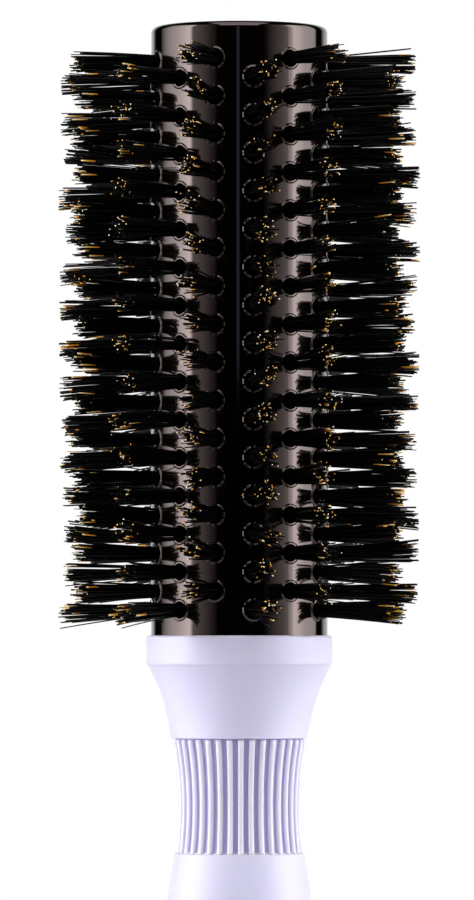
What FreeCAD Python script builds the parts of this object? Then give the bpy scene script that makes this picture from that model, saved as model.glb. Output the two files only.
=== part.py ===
"""Round barrel brush: a lacquered beech barrel set with fourteen rows of bristle tufts, on a moulded handle.

Millimetres. The brush stands upright: the origin is the centre of the flat at the handle's end, and +Z runs up
the axis. Seen from -Y, +X is to the right. Each sub-part is modelled about its own seat and then placed.
"""

import FreeCAD, Part
import math
import os

import Sketcher

V = FreeCAD.Vector

# name, value in millimetres (or a count), what it is
SIZES = [
    # the two halves of the brush
    ("barrel_radius", 16.0, "outside of the lacquered barrel"),
    ("barrel_length", 110.3, "barrel that stands above the collar"),
    ("handle_length", 112.0, "handle's end to the collar's top edge"),
    ("fit_clearance", 0.05, "radial gap of each glued or pressed round fit"),
    # barrel
    ("barrel_top_round", 1.1, "rounding of the barrel's top edge"),
    ("seat_depth", 5.0, "barrel that stands inside the collar"),
    ("spigot_radius", 6.5, "turned spigot under the barrel"),
    ("spigot_length", 24.0, "spigot below the barrel's shoulder"),
    ("spigot_chamfer", 0.8, "lead-in at the spigot's end"),
    # tuft holes
    ("tuft_columns", 14, "columns of tufts round the barrel"),
    ("tuft_pitch", 6.835, "tuft to tuft along a column"),
    ("first_tuft", 4.55, "lowest tuft of a low column above the collar"),
    ("top_margin", 6.6, "bare barrel above the highest tuft"),
    ("bore_radius", 1.45, "drilled tuft hole"),
    ("bore_depth", 8.0, "tuft hole below the barrel's surface"),
    ("drill_point", 0.6, "cone left by the drill at the hole's end"),
    ("mouth_flare", 0.45, "countersink's width and depth at the barrel's surface"),
    # bristle tufts and the flat wires that hold them
    ("tuft_length", 16.0, "free bristle above the barrel"),
    ("tuft_clearance", 0.1, "radial gap between a tuft and its hole"),
    ("tuft_tip_radius", 2.1, "spread of a tuft at its tips"),
    ("wire_thickness", 0.35, "flat anchor wire"),
    ("wire_depth", 1.8, "anchor wire, measured along the hole"),
    ("fold_depth", 0.9, "folded bristle between the wire and the hole's end"),
    # flared collar
    ("collar_overhang", 0.8, "collar's radius beyond the barrel"),
    ("collar_band", 5.4, "height of the plain band at the collar's top"),
    ("collar_edge_round", 0.5, "rounding of the collar's top edge"),
    ("crease_depth", 0.3, "fine groove between the band and the flare"),
    ("flare_height", 13.2, "flare below the band"),
    ("flare_foot_wall", 3.35, "collar's wall at the flare's lower edge"),
    ("flare_curve", 35.0, "radius of the flare's hollow curve"),
    # ribbed grip sleeve
    ("rib_length", 20.8, "height of the ribbed waist"),
    ("rib_top_wall", 3.2, "sleeve's wall over the ribs at the top"),
    ("rib_foot_wall", 2.55, "sleeve's wall over the ribs at the foot"),
    ("rib_curve", 62.0, "radius of the waist's hollow curve"),
    ("rib_count", 36, "ribs round the waist"),
    ("rib_height", 0.7, "rib above the groove floor"),
    ("rib_share", 0.62, "part of the pitch that is rib"),
    # lower grip
    ("grip_top_wall", 2.65, "lower grip's wall at its upper edge"),
    ("grip_edge_round", 0.15, "rounding of that edge"),
    ("grip_swell_wall", 4.65, "lower grip's wall at its widest"),
    ("grip_swell_drop", 20.45, "widest place below that rounding"),
    ("grip_foot_wall", 1.95, "lower grip's wall where it meets the end cap"),
    # end cap
    ("cap_height", 6.0, "end cap that shows"),
    ("cap_round", 4.2, "rounding of the handle's end"),
    ("plug_length", 8.0, "end cap inside the core"),
    ("plug_wall", 1.6, "wall of the end cap's hollow plug"),
    # core and screw
    ("core_wall", 2.45, "wall of the handle's rigid core"),
    ("socket_relief", 0.5, "space left under the spigot"),
    ("web_thickness", 3.0, "web that the screw pulls on"),
    ("screw_radius", 1.75, "shank of the wood screw"),
    ("screw_clearance", 0.2, "radial gap round the shank in the web"),
    ("screw_length", 18.0, "under the head to the point"),
    ("screw_point", 3.0, "length of the screw's point"),
    ("screw_head_radius", 3.2, "pan head"),
    ("screw_head_height", 2.3, "pan head"),
    ("recess_width", 0.9, "each slot of the cross recess"),
    ("recess_reach", 1.7, "half the length of each slot"),
    ("recess_depth", 1.2, "depth of the cross recess"),
]

# places worked out from those sizes, as expressions
ROWS = ("floor((sizes.barrel_length - sizes.first_tuft - 0.5 * sizes.tuft_pitch - sizes.top_margin)"
        " / sizes.tuft_pitch) + 1")
COLLAR_RADIUS = "sizes.barrel_radius + sizes.collar_overhang"
SHOULDER_Z = "sizes.handle_length - sizes.seat_depth"
FLARE_FOOT_Z = "sizes.handle_length - sizes.collar_band - sizes.flare_height"
RIB_FOOT_Z = FLARE_FOOT_Z + " - sizes.rib_length"
CORE_BORE = "(sizes.spigot_radius + sizes.fit_clearance)"
CORE_RADIUS = f"({CORE_BORE} + sizes.core_wall)"
CORE_SEAT = f"({CORE_RADIUS} + sizes.fit_clearance)"
GRIP_FOOT_RADIUS = f"({CORE_SEAT} + sizes.grip_foot_wall)"

doc = FreeCAD.newDocument("round_barrel_brush")
sheet = doc.addObject("Spreadsheet::Sheet", "sizes")
for row, (alias, value, note) in enumerate(SIZES, start=1):
    sheet.set(f"A{row}", note)
    sheet.set(f"B{row}", str(value))
    sheet.setAlias(f"B{row}", alias)
doc.recompute()


def measure(expression):
    """The number that an expression on the sheet gives."""
    return float(sheet.evalExpression(expression.replace("sizes.", "")))


def new_body(label):
    """An empty body with its own name."""
    body = doc.addObject("PartDesign::Body", label)
    body.Label = label
    return body


def plane(body, role):
    """One of the body's own origin planes or axes."""
    return next(f for f in body.Origin.OriginFeatures if f.Role == role)


def new_sketch(body, name, role="XZ_Plane"):
    """An empty sketch on one of the body's planes."""
    sketch = body.newObject("Sketcher::SketchObject", name)
    sketch.AttachmentSupport = (plane(body, role), [""])
    sketch.MapMode = "FlatFace"
    return sketch


def arc_centre(start, end, radius, side):
    """Centre of the arc from start to end; side 1 puts it left of the way from start to end, -1 right."""
    chord = end - start
    across = V(-chord.y, chord.x, 0).normalize()
    return (start + end) * 0.5 + across * side * math.sqrt(radius**2 - (chord.Length / 2) ** 2)


def draw_profile(sketch, corners):
    """A closed outline through corners, each (across, along, curve): two expressions, and for the edge to the
    next corner None or (radius expression, side). Every corner is held by the sheet."""
    points = [V(measure(across), measure(along), 0) for across, along, _ in corners]
    starts = []
    for i, (across, along, curve) in enumerate(corners):
        start, end = points[i], points[(i + 1) % len(points)]
        if curve is None:
            edge = sketch.addGeometry(Part.LineSegment(start, end), False)
            starts.append((edge, 1, 2))
            continue
        radius, side = measure(curve[0]), curve[1]
        centre = arc_centre(start, end, radius, side)
        first, last = (start, end) if side > 0 else (end, start)
        angles = [math.atan2(p.y - centre.y, p.x - centre.x) for p in (first, last)]
        circle = Part.Circle(centre, V(0, 0, 1), radius)
        edge = sketch.addGeometry(Part.ArcOfCircle(circle, *angles), False)
        starts.append((edge, 1, 2) if side > 0 else (edge, 2, 1))
        held = sketch.addConstraint(Sketcher.Constraint("Radius", edge, radius))
        sketch.setExpression(f"Constraints[{held}]", curve[0])
    for i, (across, along, _) in enumerate(corners):
        edge, begin, _ = starts[i]
        before, _, finish = starts[i - 1]
        sketch.addConstraint(Sketcher.Constraint("Coincident", before, finish, edge, begin))
        for kind, expression, value, axis in (
            ("DistanceX", across, points[i].x, -2),
            ("DistanceY", along, points[i].y, -1),
        ):
            if abs(value) < 1e-9:
                sketch.addConstraint(Sketcher.Constraint("PointOnObject", edge, begin, axis))
                continue
            held = sketch.addConstraint(Sketcher.Constraint(kind, -1, 1, edge, begin, value))
            sketch.setExpression(f"Constraints[{held}]", expression)


def turn(body, name, corners, kind="Revolution", angle=None):
    """Turns an outline on the body's XZ plane about the body's Z axis, all round or through an angle."""
    sketch = new_sketch(body, name + "_outline")
    draw_profile(sketch, corners)
    feature = body.newObject("PartDesign::" + kind, name)
    feature.Profile = sketch
    feature.ReferenceAxis = (sketch, ["V_Axis"])
    if angle is None:
        feature.Angle = 360
    else:
        feature.setExpression("Angle", angle)
        feature.Midplane = True
    return feature


def place(body, height, angle="0"):
    """Sets the body's seat height on the brush's axis, and its turn about that axis in degrees."""
    body.Placement = FreeCAD.Placement(V(0, 0, measure(height)), FreeCAD.Rotation(V(0, 0, 1), 1))
    body.setExpression("Placement.Base.z", height)
    body.setExpression("Placement.Rotation.Angle", angle)


def repeat_along(body, name, originals, count, step):
    """Copies features up the body's Z axis."""
    pattern = body.newObject("PartDesign::LinearPattern", name)
    pattern.Originals = originals
    pattern.Direction = (plane(body, "Z_Axis"), [""])
    pattern.Mode = "Spacing"
    pattern.setExpression("Occurrences", count)
    pattern.setExpression("Offset", step)
    return pattern


def repeat_round(body, name, originals, count):
    """Copies features all round the body's Z axis."""
    pattern = body.newObject("PartDesign::PolarPattern", name)
    pattern.Originals = originals
    pattern.Axis = (plane(body, "Z_Axis"), [""])
    pattern.Angle = 360
    pattern.setExpression("Occurrences", count)
    return pattern


def drill_tuft_holes(body, name, first_height, column):
    """Drills and countersinks every second column of tuft holes, starting from the given column."""
    sketch = new_sketch(body, name + "_outline")
    sketch.AttachmentOffset = FreeCAD.Placement(V(), FreeCAD.Rotation(V(0, 1, 0), 1))
    sketch.setExpression("AttachmentOffset.Rotation.Angle", f"{column} * 360 / sizes.tuft_columns")
    hole_end = "sizes.barrel_radius - sizes.bore_depth"
    edge = first_height + " + sizes.bore_radius"
    # the outline's first edge is the hole's centre line
    draw_profile(sketch, [
        (hole_end + " - sizes.drill_point", first_height, None),
        ("sizes.barrel_radius + sizes.mouth_flare", first_height, None),
        ("sizes.barrel_radius + sizes.mouth_flare", edge + " + 2 * sizes.mouth_flare", None),
        ("sizes.barrel_radius - sizes.mouth_flare", edge, None),
        (hole_end, edge, None),
    ])
    hole = body.newObject("PartDesign::Groove", name)
    hole.Profile = sketch
    hole.ReferenceAxis = (sketch, ["Edge1"])
    hole.Angle = 360
    doc.recompute()
    pattern = body.newObject("PartDesign::MultiTransform", name + "_pattern")
    pattern.Originals = [hole]
    pattern.Transformations = [
        repeat_along(body, name + "_rows", [], ROWS, "sizes.tuft_pitch"),
        repeat_round(body, name + "_columns", [], "sizes.tuft_columns / 2"),
    ]
    body.Tip = pattern


def make_barrel():
    """Turned beech barrel with its spigot, the screw's pilot hole and all the tuft holes; seat at the collar's
    top edge."""
    body = new_body("barrel")
    round_start = "sizes.barrel_length - sizes.barrel_top_round"
    spigot_end = "-sizes.seat_depth - sizes.spigot_length"
    turn(body, "turned_blank", [
        ("0", spigot_end, None),
        ("sizes.spigot_radius - sizes.spigot_chamfer", spigot_end, None),
        ("sizes.spigot_radius", spigot_end + " + sizes.spigot_chamfer", None),
        ("sizes.spigot_radius", "-sizes.seat_depth", None),
        ("sizes.barrel_radius", "-sizes.seat_depth", None),
        ("sizes.barrel_radius", round_start, ("sizes.barrel_top_round", 1)),
        ("sizes.barrel_radius - sizes.barrel_top_round", "sizes.barrel_length", None),
        ("0", "sizes.barrel_length", None),
    ])
    pilot_end = (f"{spigot_end} - sizes.socket_relief - sizes.web_thickness + sizes.screw_length"
                 " - sizes.screw_point")
    pilot = turn(body, "pilot_hole", [
        ("0", spigot_end, None),
        ("sizes.screw_radius", spigot_end, None),
        ("sizes.screw_radius", pilot_end, None),
        ("0", pilot_end + " + sizes.screw_point", None),
    ], kind="Groove")
    body.Tip = pilot
    doc.recompute()
    # the column on +X is a high one, half a pitch above its two neighbours
    drill_tuft_holes(body, "high_holes", "sizes.first_tuft + 0.5 * sizes.tuft_pitch", 0)
    drill_tuft_holes(body, "low_holes", "sizes.first_tuft", 1)
    place(body, "sizes.handle_length")
    return body


def column_seat(column):
    """Height and turn of a column's lowest tuft, as expressions."""
    height = "sizes.handle_length + sizes.first_tuft"
    if column % 2 == 0:
        height += " + 0.5 * sizes.tuft_pitch"
    return height, f"{column} * 360 / sizes.tuft_columns"


def make_tuft_column(column):
    """One column of bristle tufts. Each is a bundle folded round a flat wire: it fills its hole, then spreads
    to its tips, and the wire's slot runs right across it."""
    body = new_body(f"bristle_tufts_col_{column + 1:02d}")
    body.AllowCompound = True
    foot = "sizes.barrel_radius - sizes.bore_depth"
    bundle = "sizes.bore_radius - sizes.tuft_clearance"
    outline = new_sketch(body, "tuft_outline")
    tips = "sizes.barrel_radius + sizes.tuft_length"
    draw_profile(outline, [
        (foot, "0", None),
        (tips, "0", None),
        (tips, "sizes.tuft_tip_radius", None),
        ("sizes.barrel_radius", bundle, None),
        (foot, bundle, None),
    ])
    tuft = body.newObject("PartDesign::Revolution", "tuft")
    tuft.Profile = outline
    tuft.ReferenceAxis = (outline, ["H_Axis"])
    tuft.Angle = 360
    body.Tip = tuft
    doc.recompute()
    slot_outline = new_sketch(body, "slot_outline")
    draw_profile(slot_outline, wire_section(foot))
    slot = body.newObject("PartDesign::Pocket", "wire_slot")
    slot.Profile = slot_outline
    slot.Type = "ThroughAll"
    slot.SideType = "Symmetric"
    body.Tip = slot
    doc.recompute()
    column_of_tufts = repeat_along(body, "column_of_tufts", [tuft, slot], ROWS, "sizes.tuft_pitch")
    body.Tip = column_of_tufts
    place(body, *column_seat(column))
    return body


def wire_section(foot):
    """Outline of the flat wire, seen along it: above the folded bristle and centred on the hole's axis."""
    low = foot + " + sizes.fold_depth"
    high = low + " + sizes.wire_depth"
    half = "0.5 * sizes.wire_thickness"
    return [(low, "-" + half, None), (high, "-" + half, None), (high, half, None), (low, half, None)]


def make_wire_column(column):
    """One column of flat anchor wires. Each spans its hole, with its corners against the hole's wall."""
    body = new_body(f"tuft_anchors_col_{column + 1:02d}")
    body.AllowCompound = True
    outline = new_sketch(body, "wire_outline")
    draw_profile(outline, wire_section("sizes.barrel_radius - sizes.bore_depth"))
    wire = body.newObject("PartDesign::Pad", "wire")
    wire.Profile = outline
    wire.SideType = "Symmetric"
    wire.setExpression("Length", "2 * sqrt(sizes.bore_radius ^ 2 - (0.5 * sizes.wire_thickness) ^ 2)")
    body.Tip = wire
    doc.recompute()
    body.Tip = repeat_along(body, "column_of_wires", [wire], ROWS, "sizes.tuft_pitch")
    place(body, *column_seat(column))
    return body


def make_flared_collar():
    """Moulded collar: a plain band that holds the barrel's foot, and a hollow-curved flare down to the ribs;
    seat at the flare's lower edge."""
    body = new_body("flared_collar")
    top = "sizes.flare_height + sizes.collar_band"
    floor_z = top + " - sizes.seat_depth"
    cup = "sizes.barrel_radius + sizes.fit_clearance"
    rim = COLLAR_RADIUS + " - sizes.collar_edge_round"
    turn(body, "moulding", [
        (CORE_SEAT, "0", None),
        (CORE_SEAT + " + sizes.flare_foot_wall", "0", ("sizes.flare_curve", -1)),
        (COLLAR_RADIUS + " - sizes.crease_depth", "sizes.flare_height", None),
        (COLLAR_RADIUS, "sizes.flare_height + sizes.crease_depth", None),
        (COLLAR_RADIUS, top + " - sizes.collar_edge_round", ("sizes.collar_edge_round", 1)),
        (rim, top, None),
        (cup, top, None),
        (cup, floor_z, None),
        (CORE_SEAT, floor_z, None),
    ])
    place(body, FLARE_FOOT_Z)
    return body


def make_ribbed_sleeve():
    """Waisted grip sleeve with ribs all round, each a narrow sector that follows the waist's curve and is rooted
    in the wall; seat at its foot."""
    body = new_body("ribbed_grip_sleeve")
    foot, top = CORE_SEAT + " + sizes.rib_foot_wall", CORE_SEAT + " + sizes.rib_top_wall"
    sleeve = turn(body, "sleeve", [
        (CORE_SEAT, "0", None),
        (foot + " - sizes.rib_height", "0", ("sizes.rib_curve", -1)),
        (top + " - sizes.rib_height", "sizes.rib_length", None),
        (CORE_SEAT, "sizes.rib_length", None),
    ])
    body.Tip = sleeve
    doc.recompute()
    root = CORE_SEAT + " + 0.2 * sizes.rib_foot_wall"
    rib = turn(body, "rib", [
        (root, "0", None),
        (foot, "0", ("sizes.rib_curve", -1)),
        (top, "sizes.rib_length", None),
        (root, "sizes.rib_length", None),
    ], angle="360 / sizes.rib_count * sizes.rib_share")
    body.Tip = rib
    doc.recompute()
    body.Tip = repeat_round(body, "ribs", [rib], "sizes.rib_count")
    place(body, RIB_FOOT_Z, "0.5 * 360 / sizes.rib_count")
    return body


def make_lower_grip():
    """Swelling lower grip that the palm holds; seat at the end cap."""
    body = new_body("lower_grip")
    top = RIB_FOOT_Z + " - sizes.cap_height"
    swell_z = f"{top} - sizes.grip_edge_round - sizes.grip_swell_drop"
    swell_gain = "(sizes.grip_swell_wall - sizes.grip_top_wall)"
    foot_gain = "(sizes.grip_swell_wall - sizes.grip_foot_wall)"
    upper_curve = f"(sizes.grip_swell_drop ^ 2 + {swell_gain} ^ 2) / (2 * {swell_gain})"
    lower_curve = f"(({swell_z}) ^ 2 + {foot_gain} ^ 2) / (2 * {foot_gain})"
    edge = CORE_SEAT + " + sizes.grip_top_wall"
    turn(body, "moulding", [
        (CORE_SEAT, "0", None),
        (GRIP_FOOT_RADIUS, "0", (lower_curve, 1)),
        (CORE_SEAT + " + sizes.grip_swell_wall", swell_z, (upper_curve, 1)),
        (edge, top + " - sizes.grip_edge_round", ("sizes.grip_edge_round", 1)),
        (edge + " - sizes.grip_edge_round", top, None),
        (CORE_SEAT, top, None),
    ])
    place(body, "sizes.cap_height")
    return body


def make_end_cap():
    """Rounded cap that closes the handle, with a hollow plug inside the core; seat at the brush's origin."""
    body = new_body("end_cap")
    plug_top = "sizes.cap_height + sizes.plug_length"
    plug_bore = "sizes.spigot_radius - sizes.plug_wall"
    cap = turn(body, "moulding", [
        ("0", "0", None),
        (GRIP_FOOT_RADIUS + " - sizes.cap_round", "0", ("sizes.cap_round", 1)),
        (GRIP_FOOT_RADIUS, "sizes.cap_round", None),
        (GRIP_FOOT_RADIUS, "sizes.cap_height", None),
        ("sizes.spigot_radius", "sizes.cap_height", None),
        ("sizes.spigot_radius", plug_top, None),
        (plug_bore, plug_top, None),
        (plug_bore, "sizes.cap_height", None),
        ("0", "sizes.cap_height", None),
    ])
    body.Tip = cap
    place(body, "0")
    return body


def make_handle_core():
    """Rigid tube inside the handle: a socket for the barrel's spigot, a web for the screw, and an open lower end
    that the end cap closes; seat at the end cap."""
    body = new_body("handle_core")
    top = SHOULDER_Z + " - sizes.cap_height"
    socket_floor = f"{top} - sizes.spigot_length - sizes.socket_relief"
    web_foot = socket_floor + " - sizes.web_thickness"
    tube = turn(body, "tube", [
        (CORE_BORE, "0", None),
        (CORE_RADIUS, "0", None),
        (CORE_RADIUS, top, None),
        (CORE_BORE, top, None),
    ])
    body.Tip = tube
    doc.recompute()
    web_edge = CORE_BORE + " + 0.5 * sizes.core_wall"
    body.Tip = turn(body, "web", [
        ("sizes.screw_radius + sizes.screw_clearance", web_foot, None),
        (web_edge, web_foot, None),
        (web_edge, socket_floor, None),
        ("sizes.screw_radius + sizes.screw_clearance", socket_floor, None),
    ])
    place(body, "sizes.cap_height")
    return body


def make_barrel_screw():
    """Cross-recess wood screw that pulls the barrel's spigot into the core; seat under its head."""
    body = new_body("barrel_screw")
    shank = turn(body, "screw", [
        ("0", "-sizes.screw_head_height", None),
        ("0.75 * sizes.screw_head_radius", "-sizes.screw_head_height", None),
        ("sizes.screw_head_radius", "-0.5 * sizes.screw_head_height", None),
        ("sizes.screw_head_radius", "0", None),
        ("sizes.screw_radius", "0", None),
        ("sizes.screw_radius", "sizes.screw_length - sizes.screw_point", None),
        ("0", "sizes.screw_length", None),
    ])
    body.Tip = shank
    doc.recompute()
    outline = new_sketch(body, "recess_outline", "XY_Plane")
    outline.AttachmentOffset = FreeCAD.Placement(V(0, 0, -1), FreeCAD.Rotation())
    outline.setExpression("AttachmentOffset.Base.z", "-sizes.screw_head_height")
    half, reach = "0.5 * sizes.recess_width", "sizes.recess_reach"
    draw_profile(outline, [
        (half, half, None), (half, reach, None), ("-" + half, reach, None), ("-" + half, half, None),
        ("-" + reach, half, None), ("-" + reach, "-" + half, None), ("-" + half, "-" + half, None),
        ("-" + half, "-" + reach, None), (half, "-" + reach, None), (half, "-" + half, None),
        (reach, "-" + half, None), (reach, half, None),
    ])
    recess = body.newObject("PartDesign::Pocket", "cross_recess")
    recess.Profile = outline
    recess.setExpression("Length", "sizes.recess_depth")
    recess.Reversed = True
    body.Tip = recess
    place(body, f"{SHOULDER_Z} - sizes.spigot_length - sizes.socket_relief - sizes.web_thickness")
    return body


def check_and_write(bodies):
    """Stops on any failed object or bad shape, then writes each sub-part to its own file."""
    doc.recompute()
    for thing in doc.Objects:
        if {"Invalid", "Error"} & set(thing.State):
            raise RuntimeError(f"{thing.Label} did not compute: {thing.State}")
    for body in bodies:
        if body.Shape.isNull() or not body.Shape.isValid() or not body.Shape.Solids:
            raise RuntimeError(f"{body.Label} has no valid solid")
    os.makedirs("parts", exist_ok=True)
    for body in bodies:
        body.Shape.exportStep(f"parts/{body.Label}.step")
        print(f"{body.Label}: {len(body.Shape.Solids)} solids, {body.Shape.Volume:.2f} mm3")


columns = range(int(measure("sizes.tuft_columns")))
check_and_write(
    [make_barrel()]
    + [make_tuft_column(column) for column in columns]
    + [make_wire_column(column) for column in columns]
    + [
        make_flared_collar(),
        make_ribbed_sleeve(),
        make_lower_grip(),
        make_end_cap(),
        make_handle_core(),
        make_barrel_screw(),
    ]
)
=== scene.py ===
"""Round barrel brush in a studio: a lacquered beech barrel, boar bristle tufts and a satin lilac handle.

Metres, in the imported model's own frame: the brush stands on its handle's end at the origin, +Z up its axis.
Seen from -Y, +X is to the right.
"""

import bmesh
import bpy
import math
import numpy as np
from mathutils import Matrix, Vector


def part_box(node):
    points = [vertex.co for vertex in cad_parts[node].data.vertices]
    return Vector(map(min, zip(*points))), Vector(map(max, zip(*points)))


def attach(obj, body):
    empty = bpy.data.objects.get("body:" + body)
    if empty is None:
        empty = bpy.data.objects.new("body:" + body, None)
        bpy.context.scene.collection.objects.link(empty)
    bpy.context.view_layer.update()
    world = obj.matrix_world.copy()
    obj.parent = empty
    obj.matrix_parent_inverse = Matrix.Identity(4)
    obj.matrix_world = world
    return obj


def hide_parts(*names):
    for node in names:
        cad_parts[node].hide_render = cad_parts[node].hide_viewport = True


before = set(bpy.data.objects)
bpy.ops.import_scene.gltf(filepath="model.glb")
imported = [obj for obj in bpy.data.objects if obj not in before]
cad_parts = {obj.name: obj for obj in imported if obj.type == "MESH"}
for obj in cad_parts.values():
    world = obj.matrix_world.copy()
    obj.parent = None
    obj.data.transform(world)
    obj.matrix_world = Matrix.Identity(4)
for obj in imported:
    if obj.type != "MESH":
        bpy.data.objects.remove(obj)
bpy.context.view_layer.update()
MM = 0.001

# ---------------------------------------------------------------------------------------------------------
# Barrel. Turned beech, drilled and countersunk for every tuft, then dipped in black lacquer, which dries in a
# raised bead round each hole. Its foot stands in the collar's cup, and its spigot is screwed into the handle.

BARREL_RADIUS = 16.0 * MM
BARREL_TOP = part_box("barrel")[1][2]
COLLAR_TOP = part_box("flared_collar")[1][2]
BARREL_FOOT = COLLAR_TOP - 4.9 * MM        # inside the collar's cup
FOOT_EDGE = 0.3 * MM                       # a narrow ring that keeps the foot's edge crisp
TOP_ROUND = 1.1 * MM
COLUMNS, ROWS = 14, 15
COLUMN_STEP = 2 * math.pi / COLUMNS
PITCH = 6.835 * MM
FIRST_TUFT = 4.55 * MM                     # lowest tuft of a low column above the collar
BORE_RADIUS, BORE_DEPTH, DRILL_POINT = 1.45 * MM, 8.0 * MM, 0.6 * MM
CONE_STEP, CONE_DEPTH = 0.12 * MM, 0.7 * MM   # the countersink: how far out half way down, and its depth
MOUTH_RADIUS = 1.74 * MM                   # the countersunk mouth, at the crest of the lacquer's bead
BEAD_WIDTH, BEAD_HEIGHT = 0.36 * MM, 0.20 * MM
LIP = 0.15 * MM                            # rounding from the crest down into the hole
SIDE_STEPS, END_STEPS = 12, 8              # edges along and across one tuft's share of the surface
SAME_POINT = 2e-6                          # points nearer than this, in metres, are one


def to_linear(code):
    """sRGB hex code to linear RGBA: c/12.92 below 0.04045, else ((c + 0.055) / 1.055) ** 2.4."""
    c = np.array([int(code[i:i + 2], 16) for i in (1, 3, 5)]) / 255
    return (*np.where(c <= 0.04045, c / 12.92, ((c + 0.055) / 1.055) ** 2.4), 1.0)


def add_node(material, kind, settings=None, **links):
    """Adds one node. Settings go on its sockets and properties, links join other nodes' outputs to it."""
    node = material.node_tree.nodes.new(kind)
    for name, value in (settings or {}).items():
        if name in node.inputs:
            node.inputs[name].default_value = value
        else:
            setattr(node, name, value)
    for name, (other, output) in links.items():
        material.node_tree.links.new(other.outputs[output], node.inputs[name.replace("_", " ")])
    return node


def new_material(name):
    """An empty node material and its Principled shader, joined to its output."""
    material = bpy.data.materials.new(name)
    material.use_nodes = True
    shader = material.node_tree.nodes["Principled BSDF"]
    return material, shader


def block_faces(rows, columns, start):
    """Four corner indices of every 2 x 2 block of a grid whose first vertex has the index start."""
    i = start + np.arange(rows * columns).reshape(rows, columns)
    return np.stack([i[:-1, :-1], i[:-1, 1:], i[1:, 1:], i[1:, :-1]], axis=-1).reshape(-1, 4)


def make_piece(name, sheets, material):
    """One closed piece from sheets of points, each (rows, columns, 3). Blocks of neighbours become faces,
    points in the same place are welded, and the faces are turned outwards."""
    points = np.concatenate([s.reshape(-1, 3) for s in sheets])
    starts = np.cumsum([0] + [s.shape[0] * s.shape[1] for s in sheets])
    faces = np.concatenate([block_faces(s.shape[0], s.shape[1], n) for s, n in zip(sheets, starts)])
    mesh = bpy.data.meshes.new(name)
    mesh.from_pydata(points, [], faces)
    tidy = bmesh.new()
    tidy.from_mesh(mesh)
    bmesh.ops.remove_doubles(tidy, verts=tidy.verts, dist=SAME_POINT)
    bmesh.ops.recalc_face_normals(tidy, faces=tidy.faces)
    tidy.to_mesh(mesh)
    tidy.free()
    mesh.shade_smooth()
    mesh.materials.append(material)
    piece = bpy.data.objects.new(name, mesh)
    bpy.context.scene.collection.objects.link(piece)
    return piece


def on_barrel(turn, height, across, along, depth):
    """A point seen from a hole's axis: across and along it on the barrel's surface, and depth below it. Its
    distance out is sqrt(R^2 - across^2) - depth, so at no depth it lies on the cylinder."""
    out = np.sqrt(BARREL_RADIUS**2 - across**2) - depth
    x = out * np.cos(turn) - across * np.sin(turn)
    y = out * np.sin(turn) + across * np.cos(turn)
    return np.stack([x, y, height + along + 0 * x], axis=-1)


def hole_cell(turn, height):
    """One tuft's share of the surface, as rings: from its straight border (u, v in -1..1) in to the bead of
    lacquer, which rises by height * (1 - cos(pi * w)) / 2 as w goes 0..1 across its width, then round the
    lip's circle, and down the countersink and the bore to the drill's point."""
    side = np.linspace(-1, 1, SIDE_STEPS + 1)[:-1]
    end = np.linspace(-1, 1, END_STEPS + 1)[:-1]
    u = np.concatenate([np.ones(SIDE_STEPS), -end, -np.ones(SIDE_STEPS), end, [1]])
    v = np.concatenate([side, np.ones(END_STEPS), -side, -np.ones(END_STEPS), [-1]])
    angle = np.arctan2(v * PITCH / 2, u * BARREL_RADIUS * COLUMN_STEP / 2)
    around = np.stack([np.cos(angle), np.sin(angle)])
    border = np.stack([BARREL_RADIUS * np.sin(u * COLUMN_STEP / 2), v * PITCH / 2])
    bead_foot = (MOUTH_RADIUS + BEAD_WIDTH) * around
    flat = bead_foot + (border - bead_foot) * np.array([1, 0.35, 0])[:, None, None]
    w = np.array([0.25, 0.5, 0.75, 1])
    roll = np.radians([60])
    radius = np.concatenate([
        MOUTH_RADIUS + BEAD_WIDTH * (1 - w), MOUTH_RADIUS - LIP * np.sin(roll),
        [BORE_RADIUS + CONE_STEP, BORE_RADIUS, BORE_RADIUS, 0]])
    depth = np.concatenate([
        -BEAD_HEIGHT * (1 - np.cos(math.pi * w)) / 2, -BEAD_HEIGHT + LIP * (1 - np.cos(roll)),
        [CONE_DEPTH / 2, CONE_DEPTH, BORE_DEPTH, BORE_DEPTH + DRILL_POINT]])
    rings = np.concatenate([flat, radius[:, None, None] * around])
    sunk = np.concatenate([np.zeros(len(flat)), depth])[:, None]
    return on_barrel(turn, height, rings[:, 0], rings[:, 1], sunk)


def turned(radii, heights, first=0.0, last=2 * math.pi, steps=COLUMNS * END_STEPS):
    """A profile carried round the axis: (r cos a, r sin a, z) for angles a from first to last."""
    a = np.linspace(first, last, steps + 1)[:, None]
    r, z = np.asarray(radii)[None, :], np.asarray(heights)[None, :]
    return np.stack([r * np.cos(a), r * np.sin(a), z + 0 * a], axis=-1)


barrel_sheets = []
low_edge = COLLAR_TOP + FIRST_TUFT - PITCH / 2
high_edge = low_edge + ROWS * PITCH
for column in range(COLUMNS):
    turn, lift = column * COLUMN_STEP, (PITCH / 2 if column % 2 == 0 else 0)
    for row in range(ROWS):
        barrel_sheets.append(hole_cell(turn, COLLAR_TOP + FIRST_TUFT + lift + row * PITCH))
    # the half pitch that a staggered column leaves bare, at its foot or at its top
    bare = low_edge if lift else high_edge
    strip = np.linspace(bare, bare + PITCH / 2, SIDE_STEPS // 2 + 1)
    barrel_sheets.append(turned(0 * strip + BARREL_RADIUS, strip, turn - COLUMN_STEP / 2,
                                turn + COLUMN_STEP / 2, END_STEPS))
curl = np.radians(np.linspace(0, 90, 9))
barrel_sheets.append(turned([0, BARREL_RADIUS, BARREL_RADIUS, BARREL_RADIUS],
                            [BARREL_FOOT, BARREL_FOOT, BARREL_FOOT + FOOT_EDGE, low_edge],
                            -COLUMN_STEP / 2, 2 * math.pi - COLUMN_STEP / 2))
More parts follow.
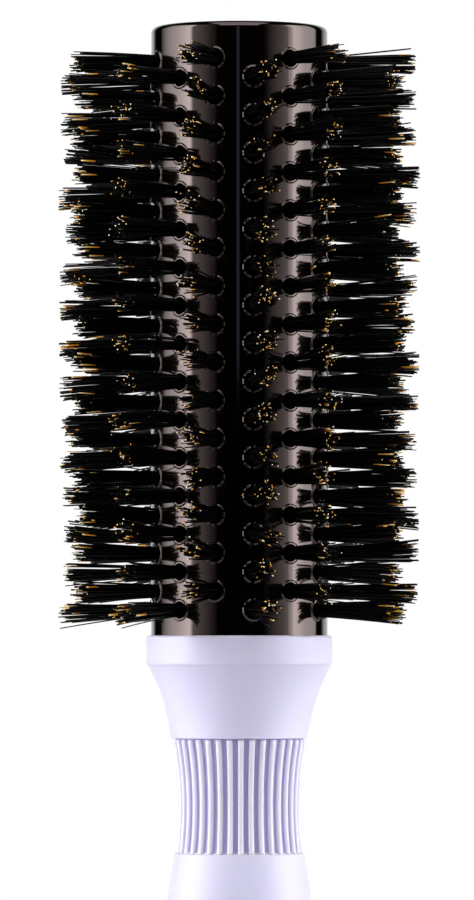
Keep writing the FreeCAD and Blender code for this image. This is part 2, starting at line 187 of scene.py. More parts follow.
barrel_sheets.append(turned(
    np.concatenate([[BARREL_RADIUS], BARREL_RADIUS - TOP_ROUND * (1 - np.cos(curl)), [0]]),
    np.concatenate([[high_edge + PITCH / 2], BARREL_TOP - TOP_ROUND * (1 - np.sin(curl)), [BARREL_TOP]]),
    -COLUMN_STEP / 2, 2 * math.pi - COLUMN_STEP / 2))

# Black nitro lacquer over beech: a deep wet gloss with a faint warm cast, very slightly wavy over the grain.
lacquer, shader = new_material("black_lacquer_on_beech")
shader.inputs["Base Color"].default_value = to_linear("#040302")
shader.inputs["Roughness"].default_value = 0.06
shader.inputs["IOR"].default_value = 1.5
shader.inputs["Specular IOR Level"].default_value = 0.82
shader.inputs["Specular Tint"].default_value = to_linear("#ffe6e2")
place = add_node(lacquer, "ShaderNodeTexCoord")
GRAIN_WIDTH = 1.2                          # mm, the beech's long grain under the lacquer
grain_place = add_node(lacquer, "ShaderNodeMapping", {"Scale": (1 / MM, 1 / MM, 0.06 / MM)},
                       Vector=(place, "Object"))
grain = add_node(lacquer, "ShaderNodeTexNoise", {"Scale": 1 / GRAIN_WIDTH, "Detail": 2.0},
                 Vector=(grain_place, "Vector"))
ripple = add_node(lacquer, "ShaderNodeBump", {"Strength": 0.02, "Distance": 0.05 * MM},
                  Height=(grain, "Fac"))
lacquer.node_tree.links.new(ripple.outputs["Normal"], shader.inputs["Normal"])

barrel = make_piece("lacquered_barrel", barrel_sheets, lacquer)


def set_true_normals(piece):
    """Gives the barrel the normals of its true surface instead of its facets': straight out from the axis on
    the cylinder and, on a bead of lacquer, out + slope * away, where away points from the hole's axis and the
    slope is the bead's own, pi / 2 * height / width * sin(pi * w). Inside the holes the facets' own serve."""
    mesh = piece.data
    points, normals = np.empty((2, len(mesh.vertices) * 3))
    mesh.vertices.foreach_get("co", points)
    mesh.vertex_normals.foreach_get("vector", normals)
    points, normals = points.reshape(-1, 3), normals.reshape(-1, 3)
    angle = np.arctan2(points[:, 1], points[:, 0])
    height = points[:, 2] - COLLAR_TOP - FIRST_TUFT
    column = np.round(angle / COLUMN_STEP)
    lift = np.where(column % 2 == 0, PITCH / 2, 0)
    row = np.clip(np.round((height - lift) / PITCH), 0, ROWS - 1)
    out = np.stack([np.cos(angle), np.sin(angle), 0 * angle], 1)
    sideways = np.stack([-np.sin(angle), np.cos(angle), 0 * angle], 1)
    across = BARREL_RADIUS * np.sin(angle - column * COLUMN_STEP)
    along = height - lift - row * PITCH
    reach = np.hypot(across, along) + 1e-9
    away = (across[:, None] * sideways + along[:, None] * [0, 0, 1]) / reach[:, None]
    w = np.clip((MOUTH_RADIUS + BEAD_WIDTH - reach) / BEAD_WIDTH, 0, 1)
    slope = math.pi / 2 * BEAD_HEIGHT / BEAD_WIDTH * np.sin(math.pi * w)
    radius = np.hypot(points[:, 0], points[:, 1])
    on_side = (radius > BARREL_RADIUS - SAME_POINT) & (points[:, 2] > BARREL_FOOT + SAME_POINT)
    true = (out + slope[:, None] * away) / np.sqrt(1 + slope**2)[:, None]
    normals[on_side] = true[on_side]
    mesh.normals_split_custom_set_from_vertices(normals)


set_true_normals(barrel)
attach(barrel, "root")
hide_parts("barrel")

# ---------------------------------------------------------------------------------------------------------
# Bristle tufts. Boar bristle dyed black, doubled over a flat wire, driven into each hole and then trimmed.
# Where a coarser strand took no dye, its cut end shows amber; its brighter gold and pale cream are a
# painted glint of light on the cut.

BRISTLES = 50                              # strands that stand out of one hole
BRISTLE_RADIUS = 0.13 * MM
TIP_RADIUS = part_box("bristle_tufts_col_01")[1][0]   # from the axis to the trimmed tips
ROOT_RADIUS = BARREL_RADIUS - BORE_DEPTH + 0.3 * MM   # just clear of the bore's end
STATIONS = np.array([0.0, 0.32, 0.5, 0.68, 0.84, 0.965, 1.0])   # along a strand, from its fold to its tip
STRAND_SIDES = 4
BUNDLE_RADIUS = 1.15 * MM                  # the tuft where the bore holds it
FAN = 0.62                                 # how much wider it is at the tips, as a share of that
LEAN, WANDER, STRAY = 0.35 * MM, 0.33 * MM, 0.8 * MM   # sideways at the tips: a tuft's, a strand's, a stray's
STRAY_SHARE = 0.02
TRIM = 0.35 * MM                           # how unevenly the tufts are trimmed
SHORTFALL, UNEVEN, LONGEST = -0.9 * MM, 0.9 * MM, 0.3 * MM   # strands' lengths within a tuft
SLANT = 0.8                                # the steepest cut, for one radius across
TIP_TAPER = 0.88                           # a strand's radius at its tip, as a share of the rest
UNDYED_SHARE = 0.06, 0.42                  # a tuft's strands that took no dye, at least and at most
UNDYED_THICKER = 1.25                      # how much thicker those are
SIDE_AMBER_SHARE = 0.1                     # strands whose sides are undyed near the tip as well
SIDE_AMBER_FROM = 0.93, 0.985              # how far along such a strand that starts
PAST_TIP = 1.2                             # a start that no station reaches
AMBER_FADE = 0.04                          # the stretch in which the amber comes in


def strand_tubes(centres, p, q, radii, slant):
    """Closed four-sided tubes round centre lines (strands, stations, 3). Each ring is
    centre + r (cos a p + sin a q), and the last is cut at a slant: its points move by slant * cos a. Returns
    points and faces: all walls first, then the ends at the fold, then the cut ends."""
    a = np.arange(STRAND_SIDES) * 2 * math.pi / STRAND_SIDES
    ring = np.cos(a)[:, None] * p[:, None, None, :] + np.sin(a)[:, None] * q[:, None, None, :]
    points = centres[:, :, None, :] + radii[:, :, None, None] * ring
    points[:, -1] += np.cos(a)[:, None] * slant[:, None, :]
    count, rings = radii.shape
    index = np.arange(count * rings * STRAND_SIDES).reshape(count, rings, STRAND_SIDES)
    beside = np.roll(index, -1, axis=2)
    walls = np.stack([index[:, :-1], beside[:, :-1], beside[:, 1:], index[:, 1:]], -1).reshape(-1, 4)
    return points.reshape(-1, 3), np.concatenate([walls, index[:, 0, ::-1], index[:, -1]])


def tuft_column(name, turn, first_height, combed, material, seed):
    """One column of tufts. Each strand runs from the fold at its hole's end to a trimmed tip. Its sideways
    place is root * (1 + FAN * t) + wander * t + lean * t^2, with t in 0..1 from inside the hole to the tip,
    and its length is uneven, as trimming leaves it. combed is the lean round the barrel that use has given
    the tufts, all but the top few."""
    random = np.random.default_rng(seed)
    total = ROWS * BRISTLES
    heights = np.repeat(first_height + PITCH * np.arange(ROWS), BRISTLES)
    reach = BUNDLE_RADIUS * np.sqrt(random.random(total))
    angle = 2 * math.pi * random.random(total)
    root = np.stack([reach * np.cos(angle), reach * np.sin(angle)], 1)
    tuft_lean = random.normal(0, LEAN, (ROWS, 2))
    tuft_lean[:, 0] += combed * np.interp(np.arange(ROWS), [ROWS - 5, ROWS - 1], [1, 0])
    tuft_lean = np.repeat(tuft_lean, BRISTLES, axis=0)
    wander = random.normal(0, WANDER, (total, 2))
    astray = random.random(total) < STRAY_SHARE
    wander[astray] += random.normal(0, STRAY, (total, 2))[astray]
    trim = np.repeat(random.normal(0, TRIM, ROWS), BRISTLES)
    length = TIP_RADIUS - ROOT_RADIUS + trim + np.minimum(random.normal(SHORTFALL, UNEVEN, total), LONGEST)
    t = STATIONS[None, :, None]
    free = np.clip((t - STATIONS[1]) / (1 - STATIONS[1]), 0, 1)
    side = root[:, None] * (1 + FAN * free) + wander[:, None] * free + tuft_lean[:, None] * free**2
    out = ROOT_RADIUS + length[:, None] * STATIONS[None, :]
    axis = np.array([math.cos(turn), math.sin(turn), 0])
    across = np.array([-math.sin(turn), math.cos(turn), 0])
    up = np.array([0, 0, 1])
    centres = out[..., None] * axis + side[..., :1] * across + side[..., 1:] * up
    centres[..., 2] += heights[:, None]
    # some strands took no dye at the cut end; these are the coarser ones
    undyed = random.random(total) < np.repeat(random.uniform(*UNDYED_SHARE, ROWS), BRISTLES)
    thickness = BRISTLE_RADIUS * random.uniform(0.8, 1.2, total) * np.where(undyed, UNDYED_THICKER, 1)
    radii = thickness[:, None] * np.interp(STATIONS, [0, 0.8, 1], [1, 1, TIP_TAPER])
    spin = random.uniform(0, math.pi, total)
    p = np.cos(spin)[:, None] * across + np.sin(spin)[:, None] * up
    q = -np.sin(spin)[:, None] * across + np.cos(spin)[:, None] * up
    slant = radii[:, -1:] * random.uniform(-SLANT, SLANT, (total, 1)) * axis
    points, faces = strand_tubes(centres, p, q, radii, slant)
    mesh = bpy.data.meshes.new(name)
    mesh.from_pydata(points, [], faces)
    # the amber shows on some strands' sides near the tip, and on the cut ends of more of them, where its
    # brighter gold and cream are a painted glint
    has_side_amber = random.random(total) < SIDE_AMBER_SHARE
    amber_from = np.where(has_side_amber, random.uniform(*SIDE_AMBER_FROM, total), PAST_TIP)
    side_amber = np.clip((STATIONS - amber_from[:, None]) / AMBER_FADE, 0, 0.8)
    side_amber = np.repeat(side_amber.ravel(), STRAND_SIDES)
    cut_amber_and_glint = np.where(undyed, random.uniform(0.3, 1, total), 0)
    corners = side_amber[faces]
    corners[-total:] = np.maximum(corners[-total:], cut_amber_and_glint[:, None])
    shade = mesh.attributes.new("amber_and_glint", "FLOAT", "CORNER")
    shade.data.foreach_set("value", corners.ravel().astype(np.float32))
    is_wall = np.arange(len(faces)) < len(faces) - 2 * total
    mesh.polygons.foreach_set("use_smooth", is_wall)
    mesh.materials.append(material)
    piece = bpy.data.objects.new(name, mesh)
    bpy.context.scene.collection.objects.link(piece)
    return piece


MIX_FACTOR, MIX_FIRST, MIX_SECOND, MIXED = 0, 6, 7, 2   # a colour Mix node's inputs, and its output

# Dyed boar bristle: near-black keratin with a soft sheen; its undyed ends are clear amber, and on the cut
# ends the bright gold and pale cream are a painted glint.
bristle, shader = new_material("dyed_boar_bristle")
amber_and_glint_value = add_node(bristle, "ShaderNodeAttribute", {"attribute_name": "amber_and_glint"})
place = add_node(bristle, "ShaderNodeTexCoord")
patch = add_node(bristle, "ShaderNodeTexNoise", {"Scale": 0.5 / MM, "Detail": 1.0},
                 Vector=(place, "Object"))
black = add_node(bristle, "ShaderNodeMix", {"data_type": "RGBA"}, Factor=(patch, "Fac"))
black.inputs[MIX_FIRST].default_value = to_linear("#000000")
black.inputs[MIX_SECOND].default_value = to_linear("#050303")
# the ramp's upper stops, bright gold and pale cream, are a painted glint on the cut ends over their amber
amber_and_glint = add_node(bristle, "ShaderNodeValToRGB", Fac=(amber_and_glint_value, "Fac"))
stops = amber_and_glint.color_ramp.elements
stops[-1].color = to_linear("#fffbe8")
stops.new(0.3).color = to_linear("#e08a28")
stops.new(0.6).color = to_linear("#ffcc58")
shows_amber_and_glint = add_node(bristle, "ShaderNodeMath", {"operation": "GREATER_THAN"})
bristle.node_tree.links.new(amber_and_glint_value.outputs["Fac"], shows_amber_and_glint.inputs[0])
shows_amber_and_glint.inputs[1].default_value = 0.15
tone = add_node(bristle, "ShaderNodeMix", {"data_type": "RGBA"})
bristle.node_tree.links.new(shows_amber_and_glint.outputs[0], tone.inputs[MIX_FACTOR])
bristle.node_tree.links.new(black.outputs[MIXED], tone.inputs[MIX_FIRST])
bristle.node_tree.links.new(amber_and_glint.outputs["Color"], tone.inputs[MIX_SECOND])
bristle.node_tree.links.new(tone.outputs[MIXED], shader.inputs["Base Color"])
shader.inputs["Roughness"].default_value = 0.32
shader.inputs["IOR"].default_value = 1.55
shader.inputs["Specular IOR Level"].default_value = 0.08

COMBED = {12: -2.6 * MM, 13: 1.8 * MM}     # two neighbouring columns, parted by use
for column in range(COLUMNS):
    number = f"{column + 1:02d}"
    lift = PITCH / 2 if column % 2 == 0 else 0
    tufts = tuft_column(f"boar_bristle_column_{number}", column * COLUMN_STEP,
                        COLLAR_TOP + FIRST_TUFT + lift, COMBED.get(column, 0), bristle, seed=410 + column)
    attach(tufts, "root")
    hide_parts(f"bristle_tufts_col_{number}")

# ---------------------------------------------------------------------------------------------------------
# Handle. Collar, ribbed waist, lower grip and end cap are moulded in one lilac plastic, in moulds with a
# spark-eroded satin. They stack on the rigid core, each seated on the next.

CORE_BORE = 9.05 * MM
FLARE_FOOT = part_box("flared_collar")[0][2]
RIB_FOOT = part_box("ribbed_grip_sleeve")[0][2]
CAP_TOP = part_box("lower_grip")[0][2]
COLLAR_RADIUS = 16.8 * MM
CUP_RADIUS, CUP_DEPTH = 16.1 * MM, 4.95 * MM
CUP_EDGE = 0.06 * MM
BAND_HEIGHT = 5.4 * MM
EDGE = 0.5 * MM
FLARE_FOOT_RADIUS, FLARE_FOOT_ROUND = 12.4 * MM, 0.3 * MM
FLARE_CURVE = 35 * MM
CREASE_DEPTH = 0.3 * MM                    # where the flare meets the band
ROUND_STEPS = 160


def hollow(low, high, curve, steps):
    """Radii and heights along an arc from low to high, each (r, z), that is hollow to the eye: the circle of
    radius curve through both, with its centre outside the piece."""
    low, high = np.array(low), np.array(high)
    chord = high - low
    across = np.array([chord[1], -chord[0]]) / np.hypot(*chord)
    centre = (low + high) / 2 + across * math.sqrt(curve**2 - chord @ chord / 4)
    start, stop = (math.atan2(p[1] - centre[1], p[0] - centre[0]) % (2 * math.pi) for p in (low, high))
    a = np.linspace(start, stop, steps)
    return centre[0] + curve * np.cos(a), centre[1] + curve * np.sin(a)


def rounded(radius, height, size, first, last, steps=6):
    """Radii and heights round a corner's quarter circle, from angle first to angle last in degrees."""
    a = np.radians(np.linspace(first, last, steps))
    return radius + size * np.cos(a), height + size * np.sin(a)


def profile(*runs):
    """Joins runs of (radii, heights) into one closed outline."""
    r = np.concatenate([np.atleast_1d(run[0]) for run in runs])
    z = np.concatenate([np.atleast_1d(run[1]) for run in runs])
    return np.append(r, r[0]), np.append(z, z[0])


# Injection-moulded ABS, masterbatched pale lilac: an even colour with a soft satin sheen from the
# spark-eroded mould. Painted shade darkens the grooves between the ribs, and a painted highlight
# pales the ribs' crests.
satin, shader = new_material("lilac_satin_abs")
place = add_node(satin, "ShaderNodeTexCoord")
shader.inputs["Roughness"].default_value = 0.5
shader.inputs["IOR"].default_value = 1.53
shader.inputs["Specular IOR Level"].default_value = 0.8
shader.inputs["Subsurface Weight"].default_value = 0.45
shader.inputs["Subsurface Radius"].default_value = (0.9, 0.85, 1.1)
shader.inputs["Subsurface Scale"].default_value = 0.7 * MM
shader.inputs["Sheen Weight"].default_value = 0.4
shader.inputs["Sheen Roughness"].default_value = 0.5
cloud = add_node(satin, "ShaderNodeTexNoise", {"Scale": 0.06 / MM, "Detail": 2.0}, Vector=(place, "Object"))
lilac = add_node(satin, "ShaderNodeMix", {"data_type": "RGBA"})
satin.node_tree.links.new(cloud.outputs["Fac"], lilac.inputs[MIX_FACTOR])
lilac.inputs[MIX_FIRST].default_value = to_linear("#dbd8f5")
lilac.inputs[MIX_SECOND].default_value = to_linear("#dfdcf7")
# painted shade darkens the grooves and a painted highlight pales the crests, from this attribute
painted_rib_shade = add_node(satin, "ShaderNodeAttribute", {"attribute_name": "painted_rib_shade"})
crest_highlight_amount = add_node(satin, "ShaderNodeMath", {"operation": "MULTIPLY"})
satin.node_tree.links.new(painted_rib_shade.outputs["Fac"], crest_highlight_amount.inputs[0])
crest_highlight_amount.inputs[1].default_value = -1
painted_groove_shade = add_node(satin, "ShaderNodeMix", {"data_type": "RGBA"})
satin.node_tree.links.new(painted_rib_shade.outputs["Fac"], painted_groove_shade.inputs[MIX_FACTOR])
satin.node_tree.links.new(lilac.outputs[MIXED], painted_groove_shade.inputs[MIX_FIRST])
painted_groove_shade.inputs[MIX_SECOND].default_value = to_linear("#b0a7d4")
painted_crest_highlight = add_node(satin, "ShaderNodeMix", {"data_type": "RGBA"})
satin.node_tree.links.new(crest_highlight_amount.outputs[0], painted_crest_highlight.inputs[MIX_FACTOR])
satin.node_tree.links.new(painted_groove_shade.outputs[MIXED], painted_crest_highlight.inputs[MIX_FIRST])
painted_crest_highlight.inputs[MIX_SECOND].default_value = to_linear("#e9e6f6")
satin.node_tree.links.new(painted_crest_highlight.outputs[MIXED], shader.inputs["Base Color"])
SPARK_GRIT = 0.12                          # mm, the mould's texture
spark = add_node(satin, "ShaderNodeTexNoise", {"Scale": 1 / (SPARK_GRIT * MM), "Detail": 1.0},
                 Vector=(place, "Object"))
tooth = add_node(satin, "ShaderNodeBump", {"Strength": 0.05, "Distance": 0.02 * MM}, Height=(spark, "Fac"))
satin.node_tree.links.new(tooth.outputs["Normal"], shader.inputs["Normal"])

# Collar: a plain band round the barrel's foot, a fine crease, and a flare that curves in to the ribs.
band_foot = COLLAR_TOP - BAND_HEIGHT
outline = profile(
    rounded(FLARE_FOOT_RADIUS - FLARE_FOOT_ROUND, FLARE_FOOT + FLARE_FOOT_ROUND, FLARE_FOOT_ROUND, -90, -10),
    hollow((FLARE_FOOT_RADIUS, FLARE_FOOT + 0.4 * MM), (COLLAR_RADIUS - 0.35 * MM, band_foot - 0.1 * MM),
           FLARE_CURVE, 30),
    ([COLLAR_RADIUS - CREASE_DEPTH, COLLAR_RADIUS - 0.08 * MM, COLLAR_RADIUS, COLLAR_RADIUS],
     [band_foot, band_foot + 0.1 * MM, band_foot + 0.35 * MM, band_foot + 0.8 * MM]),
    (COLLAR_RADIUS, COLLAR_TOP - 1.2 * MM),
    rounded(COLLAR_RADIUS - EDGE, COLLAR_TOP - EDGE, EDGE, 0, 90),
    ([CUP_RADIUS + CUP_EDGE, CUP_RADIUS, CUP_RADIUS],
     [COLLAR_TOP, COLLAR_TOP - CUP_EDGE, COLLAR_TOP - CUP_DEPTH]),
    ([CORE_BORE, CORE_BORE], [COLLAR_TOP - CUP_DEPTH, FLARE_FOOT]),
)
collar = make_piece("flared_collar_moulding", [turned(*outline, steps=ROUND_STEPS)], satin)
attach(collar, "root")
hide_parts("flared_collar")

# Ribbed waist: thirty-six ribs that follow the waist's hollow curve, with rounded upper ends under the flare.
RIBS = 36
RIB_HEIGHT = 0.7 * MM
RIB_SHARE = 0.54                           # how much of its pitch a rib takes
RIB_TOP_RADIUS, RIB_FOOT_RADIUS = 12.25 * MM, 11.6 * MM
RIB_CURVE = 62 * MM
RIB_FULLNESS = 0.6                         # 1 is a half ellipse, and less is flatter on the crest
RIB_END = 0.8 * MM                         # the length in which a rib's upper end rounds off
WAIST_STEPS = 60
waist_r, waist_z = hollow((RIB_FOOT_RADIUS, RIB_FOOT), (RIB_TOP_RADIUS, FLARE_FOOT), RIB_CURVE,
                          WAIST_STEPS)     # the line that the ribs' crests follow


def ribbed_wall():
    """Each rib is a flattened half ellipse: over its pitch s in -1..1 it is s = -share cos b and
    rise = RIB_HEIGHT sin(b)^RIB_FULLNESS for b in 0..180 degrees, on a groove floor that is the waist's arc
    less the rib's height. The upper ends round off by sqrt(1 - (1 - t)^2), where t is the way down from the
    top."""
    b = np.radians(np.linspace(0, 180, 13))
    s = np.concatenate([[-1, -RIB_SHARE - 0.1], -RIB_SHARE * np.cos(b), [RIB_SHARE + 0.1]])
    bead = np.concatenate([[0, 0], np.maximum(np.sin(b), 0) ** RIB_FULLNESS, [0]])
    a = (np.arange(RIBS)[:, None] + (s + 1) / 2).ravel() * 2 * math.pi / RIBS
    a, bead = np.append(a, 2 * math.pi)[:, None], np.append(np.tile(bead, RIBS), 0)[:, None]
    to_top = np.clip((FLARE_FOOT - waist_z) / RIB_END, 0, 1)[None]
    rise = RIB_HEIGHT * bead * np.sqrt(1 - (1 - to_top) ** 2)
    r = waist_r[None] - RIB_HEIGHT + rise
    r = np.where(waist_z[None] < RIB_FOOT + 0.1 * MM, waist_r[None], r)
    return np.stack([r * np.cos(a), r * np.sin(a), waist_z[None] + 0 * r], axis=-1)


wall = ribbed_wall()
bore = wall[:, [0, -1]]
bore[..., :2] *= (CORE_BORE / np.hypot(bore[..., 0], bore[..., 1]))[..., None]
ends = [np.stack([wall[:, i], bore[:, i]], axis=1) for i in (0, -1)]
sleeve = make_piece("ribbed_grip_moulding", [wall, *ends, bore], satin)


def paint_groove_shade_and_crest_highlight(piece):
    """Writes each point's place between groove floor and rib crest, for the painted shade in the grooves and
    the
    painted highlight on the crests: 1 on the floor, falling to 0 at a third of the rib's height and to -1
    from two thirds up."""
    points = np.empty(len(piece.data.vertices) * 3)
    piece.data.vertices.foreach_get("co", points)
    points = points.reshape(-1, 3)
    below_crest = np.interp(points[:, 2], waist_z, waist_r) - np.hypot(points[:, 0], points[:, 1])
    shade_to_highlight = np.interp(1 - below_crest / RIB_HEIGHT, [0, 0.33, 0.67], [1, 0, -1])
    shade = piece.data.attributes.new("painted_rib_shade", "FLOAT", "POINT")
    shade.data.foreach_set("value", shade_to_highlight.astype(np.float32))


paint_groove_shade_and_crest_highlight(sleeve)
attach(sleeve, "root")
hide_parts("ribbed_grip_sleeve")

# Lower grip: swells into the palm and tapers to the cap.
GRIP_TOP_RADIUS, GRIP_SWELL_RADIUS, GRIP_FOOT_RADIUS = 11.7 * MM, 13.7 * MM, 11.0 * MM
GRIP_EDGE = 0.15 * MM
SWELL_DROP = 20.45 * MM                    # from the grip's top edge down to its widest place
grip_top = RIB_FOOT
swell_z = grip_top - GRIP_EDGE - SWELL_DROP


def swell(narrow, drop, low, high, widest, steps):
    """Radii and heights from low to high up an arc that is upright where it is widest, at swell_z:
    r = widest - (R - sqrt(R^2 - d^2)), where d is the way from there and R brings it in to the narrow
    radius at the distance drop."""
    curve = (drop**2 + (widest - narrow) ** 2) / (2 * (widest - narrow))
    z = np.linspace(low, high, steps)
    return widest - curve + np.sqrt(curve**2 - (z - swell_z) ** 2), z


outline = profile(
    rounded(GRIP_FOOT_RADIUS - GRIP_EDGE, CAP_TOP + GRIP_EDGE, GRIP_EDGE, -90, 0, 4),
    swell(GRIP_FOOT_RADIUS, swell_z - CAP_TOP, CAP_TOP + 0.2 * MM, swell_z, GRIP_SWELL_RADIUS, 40),
    swell(GRIP_TOP_RADIUS, SWELL_DROP, swell_z, grip_top - GRIP_EDGE, GRIP_SWELL_RADIUS, 24),
    rounded(GRIP_TOP_RADIUS - GRIP_EDGE, grip_top - GRIP_EDGE, GRIP_EDGE, 10, 90),
    ([CORE_BORE, CORE_BORE], [grip_top, CAP_TOP]),
)
grip = make_piece("lower_grip_moulding", [turned(*outline, steps=ROUND_STEPS)], satin)
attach(grip, "root")
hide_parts("lower_grip")

# End cap: closes the handle with a rounded end and a small flat to stand on.
CAP_ROUND = 4.2 * MM
PLUG_RADIUS, PLUG_BORE, PLUG_TOP = 6.5 * MM, 4.9 * MM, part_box("end_cap")[1][2]
cap_r, cap_z = rounded(GRIP_FOOT_RADIUS - CAP_ROUND, CAP_ROUND, CAP_ROUND, -90, 0, 14)
lip_r, lip_z = rounded(GRIP_FOOT_RADIUS - GRIP_EDGE, CAP_TOP - GRIP_EDGE, GRIP_EDGE, 0, 90, 4)
cap_outline = (
    np.concatenate([[0], cap_r, lip_r, [PLUG_RADIUS, PLUG_RADIUS, PLUG_BORE, PLUG_BORE, 0]]),
    np.concatenate([[0], cap_z, lip_z, [CAP_TOP, PLUG_TOP, PLUG_TOP, CAP_TOP, CAP_TOP]]),
)
cap = make_piece("end_cap_moulding", [turned(*cap_outline, steps=ROUND_STEPS)], satin)
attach(cap, "root")
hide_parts("end_cap")

# ---------------------------------------------------------------------------------------------------------
# Hidden pieces. The handle's moulded core, the steel screw that draws the barrel down into it, and the brass
# anchor wires that the tufts fold over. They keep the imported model's own shapes.

# Natural ABS core: off-white, as moulded.
natural, shader = new_material("natural_abs")
place = add_node(natural, "ShaderNodeTexCoord")
flow = add_node(natural, "ShaderNodeTexNoise", {"Scale": 0.1 / MM}, Vector=(place, "Object"))
flow_tone = add_node(natural, "ShaderNodeMix", {"data_type": "RGBA"})
natural.node_tree.links.new(flow.outputs["Fac"], flow_tone.inputs[MIX_FACTOR])
flow_tone.inputs[MIX_FIRST].default_value = to_linear("#e9e6da")
flow_tone.inputs[MIX_SECOND].default_value = to_linear("#f1eee4")
natural.node_tree.links.new(flow_tone.outputs[MIXED], shader.inputs["Base Color"])
shader.inputs["Roughness"].default_value = 0.4

# Zinc-plated steel screw: pale grey metal with fine turning marks.
zinc, shader = new_material("zinc_plated_steel")
shader.inputs["Base Color"].default_value = to_linear("#b9bcc2")
shader.inputs["Metallic"].default_value = 1.0
place = add_node(zinc, "ShaderNodeTexCoord")
marks = add_node(zinc, "ShaderNodeTexNoise", {"Scale": 4 / MM}, Vector=(place, "Object"))
marks_range = add_node(zinc, "ShaderNodeMapRange", {"To Min": 0.25, "To Max": 0.45}, Value=(marks, "Fac"))
zinc.node_tree.links.new(marks_range.outputs["Result"], shader.inputs["Roughness"])

# Rolled brass wire, dulled a little.
wire, shader = new_material("rolled_brass_wire")
shader.inputs["Base Color"].default_value = to_linear("#c9a75a")
shader.inputs["Metallic"].default_value = 1.0
place = add_node(wire, "ShaderNodeTexCoord")
dull = add_node(wire, "ShaderNodeTexNoise", {"Scale": 3 / MM}, Vector=(place, "Object"))
dull_range = add_node(wire, "ShaderNodeMapRange", {"To Min": 0.3, "To Max": 0.5}, Value=(dull, "Fac"))
wire.node_tree.links.new(dull_range.outputs["Result"], shader.inputs["Roughness"])

finishes = {"handle_core": natural, "barrel_screw": zinc}
finishes.update({f"tuft_anchors_col_{i + 1:02d}": wire for i in range(COLUMNS)})
for node, finish in finishes.items():
    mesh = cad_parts[node].data
    mesh.materials.clear()
    mesh.materials.append(finish)

# ---------------------------------------------------------------------------------------------------------
# Studio. Two tall softboxes at the sides, dimmer panels between them and the camera, one light overhead and
# one above the camera, and a slit that draws a fine line down the lacquer. White surround, pale floor.

VIEW_AZIMUTH = 3.6                         # degrees from -Y towards +X, where the camera stands
AIM = np.array([0, 0, 0.150])


def softbox(name, azimuth, elevation, width, height, distance, falloff):
    """A soft light aimed at the brush from an azimuth off the camera's and an elevation, both in degrees.
    falloff lists (place, radiance) across it, from its left edge at 0 to its right edge at 1, as the brush
    sees it."""
    data = bpy.data.lights.new(name, "AREA")
    data.shape = "RECTANGLE"
    data.size, data.size_y = width, height
    data.energy = math.pi * width * height
    data.use_nodes = True
    tree = data.node_tree
    across = tree.nodes.new("ShaderNodeSeparateXYZ")
    geometry = tree.nodes.new("ShaderNodeNewGeometry")
    tree.links.new(geometry.outputs["Parametric"], across.inputs[0])
    curve = tree.nodes.new("ShaderNodeFloatCurve")
    points = curve.mapping.curves[0].points
    peak = max(radiance for _, radiance in falloff)
    while len(points) < len(falloff):
        points.new(0.5, 0.5)
    for point, (where, radiance) in zip(points, falloff):
        point.location = (where, radiance / peak)
        point.handle_type = "VECTOR"
    curve.mapping.update()
    tree.links.new(across.outputs["X"], curve.inputs["Value"])
    level = tree.nodes.new("ShaderNodeMath")
    level.operation = "MULTIPLY"
    level.inputs[1].default_value = peak
    tree.links.new(curve.outputs["Value"], level.inputs[0])
    tree.links.new(level.outputs[0], tree.nodes["Emission"].inputs["Strength"])
    lamp = bpy.data.objects.new(name, data)
    a, e = math.radians(VIEW_AZIMUTH + azimuth), math.radians(elevation)
    away = np.array([math.cos(e) * math.sin(a), -math.cos(e) * math.cos(a), math.sin(e)])
    lamp.location = AIM + distance * away
    lamp.rotation_euler = (math.pi / 2 - e, 0, a)
    lamp.visible_camera = False
    bpy.context.scene.collection.objects.link(lamp)
    return lamp


TALL = 1.5
BOX_DISTANCE, PANEL_DISTANCE = 0.8, 0.82
softbox("softbox_left", -92, 0, 0.905, TALL, BOX_DISTANCE,
        [(0, 0.35), (0.12, 0.9), (0.3, 2.3), (0.6, 4.4), (0.8, 6.4), (0.88, 7.1), (0.94, 4.1), (1, 0)])
softbox("softbox_right", 92.5, 0, 0.80, TALL, BOX_DISTANCE,
        [(0, 0), (0.086, 3.0), (0.2, 6.3), (0.35, 5.5), (0.54, 3.6), (0.77, 2.7), (0.9, 2.2), (1, 0.9)])
softbox("panel_left", -48, 0, 0.60, TALL, PANEL_DISTANCE, [(0, 1.3), (0.4, 0.75), (0.75, 0.25), (1, 0)])
softbox("panel_right", 50, 0, 0.56, TALL, PANEL_DISTANCE,
        [(0, 0), (0.15, 0.08), (0.4, 0.42), (0.7, 0.8), (1, 1.5)])
softbox("overhead", 0, 72, 0.8, 0.6, 1.0, [(0, 2.4), (1, 2.4)])
softbox("front_fill", 0, 40, 0.9, 0.35, 1.1, [(0, 3.0), (1, 3.0)])
slit = softbox("slit", -1.7, 9, 0.07, 0.2, 0.9, [(0, 0), (0.3, 0.75), (0.7, 0.75), (1, 0)])
slit.data.color = to_linear("#a8a6d2")[:3]

# The surround is white wherever the camera sees past the brush. As a light it is white only in a narrow part
# straight behind the brush, because black flags stand each side of the backdrop.
world = bpy.data.worlds.new("white_surround")
bpy.context.scene.world = world
world.use_nodes = True
tree = world.node_tree
sky = tree.nodes["Background"]
path = tree.nodes.new("ShaderNodeLightPath")
direction = tree.nodes.new("ShaderNodeTexCoord")
parts = tree.nodes.new("ShaderNodeSeparateXYZ")
tree.links.new(direction.outputs["Generated"], parts.inputs[0])
behind = tree.nodes.new("ShaderNodeMapRange")
behind.interpolation_type = "SMOOTHSTEP"
behind.inputs["From Min"].default_value = 0.74
behind.inputs["From Max"].default_value = 0.88
behind.inputs["To Max"].default_value = 1.0
tree.links.new(parts.outputs["Y"], behind.inputs["Value"])
seen = tree.nodes.new("ShaderNodeMath")
seen.operation = "MAXIMUM"
tree.links.new(behind.outputs["Result"], seen.inputs[0])
tree.links.new(path.outputs["Is Camera Ray"], seen.inputs[1])
tree.links.new(seen.outputs[0], sky.inputs["Strength"])
sky.inputs["Color"].default_value = (1, 1, 1, 1)

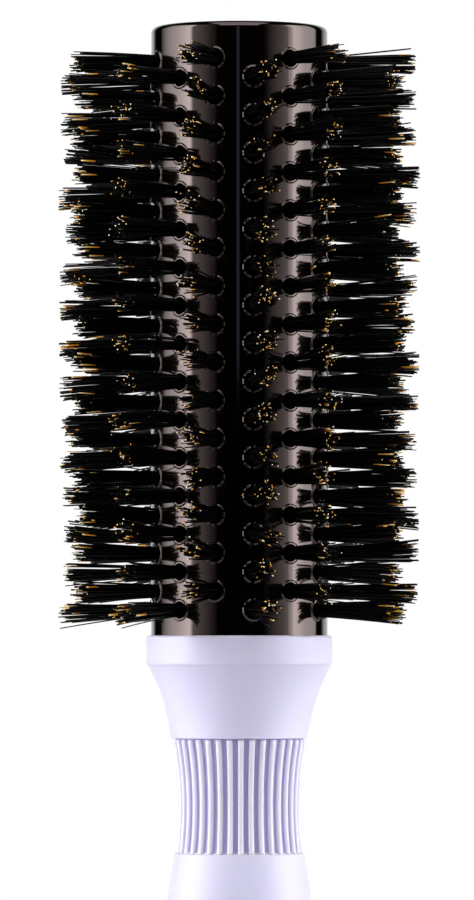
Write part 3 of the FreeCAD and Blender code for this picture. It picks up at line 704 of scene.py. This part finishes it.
# The floor fades out towards its rim, so that it meets the surround without an edge.
FLOOR_RADIUS, FADE_FROM = 0.9, 0.35
floor_mesh = bpy.data.meshes.new("pale_floor")
RIM_POINTS = 96
rim = np.arange(RIM_POINTS) * 2 * math.pi / RIM_POINTS
rim_points = np.stack([FLOOR_RADIUS * np.cos(rim), FLOOR_RADIUS * np.sin(rim), 0 * rim], 1)
floor_mesh.from_pydata(rim_points, [], [list(range(RIM_POINTS))])
floor = bpy.data.objects.new("pale_floor", floor_mesh)
bpy.context.scene.collection.objects.link(floor)
ground, shader = new_material("pale_floor")
shader.inputs["Base Color"].default_value = to_linear("#cbcace")
shader.inputs["Roughness"].default_value = 0.6
place = add_node(ground, "ShaderNodeTexCoord")
from_brush = add_node(ground, "ShaderNodeVectorMath", {"operation": "LENGTH"}, Vector=(place, "Object"))
edge_fade = add_node(ground, "ShaderNodeMapRange",
                     {"interpolation_type": "SMOOTHSTEP", "From Min": FADE_FROM, "From Max": FLOOR_RADIUS,
                      "To Min": 1.0, "To Max": 0.0}, Value=(from_brush, "Value"))
ground.node_tree.links.new(edge_fade.outputs["Result"], shader.inputs["Alpha"])
floor_mesh.materials.append(ground)

# ---------------------------------------------------------------------------------------------------------
# Camera. A long lens, level with the collar's top edge and a few degrees round from -Y towards +X. It is
# tilted slightly up, so the brush's top and the ribbed waist are in view and the grip's lower part isn't.

CAMERA_DISTANCE, CAMERA_HEIGHT = 1.3, COLLAR_TOP
AIM_HEIGHT = 0.1456
ASIDE = 0.42 * MM                          # the brush's axis stands this far right of the middle
camera_data = bpy.data.cameras.new("camera")
camera_data.lens = 287
camera_data.sensor_width = 36
camera_data.clip_start = 0.05
camera = bpy.data.objects.new("camera", camera_data)
bpy.context.scene.collection.objects.link(camera)
view_angle = math.radians(VIEW_AZIMUTH)
towards_camera = np.array([math.sin(view_angle), -math.cos(view_angle), 0])
camera.location = CAMERA_DISTANCE * towards_camera + np.array([0, 0, CAMERA_HEIGHT])
tilt = math.atan((AIM_HEIGHT - CAMERA_HEIGHT) / CAMERA_DISTANCE)
camera.rotation_euler = (math.pi / 2 + tilt, 0, view_angle + math.atan(ASIDE / CAMERA_DISTANCE))
bpy.context.scene.camera = camera
bpy.context.scene.view_settings.view_transform = "Standard"
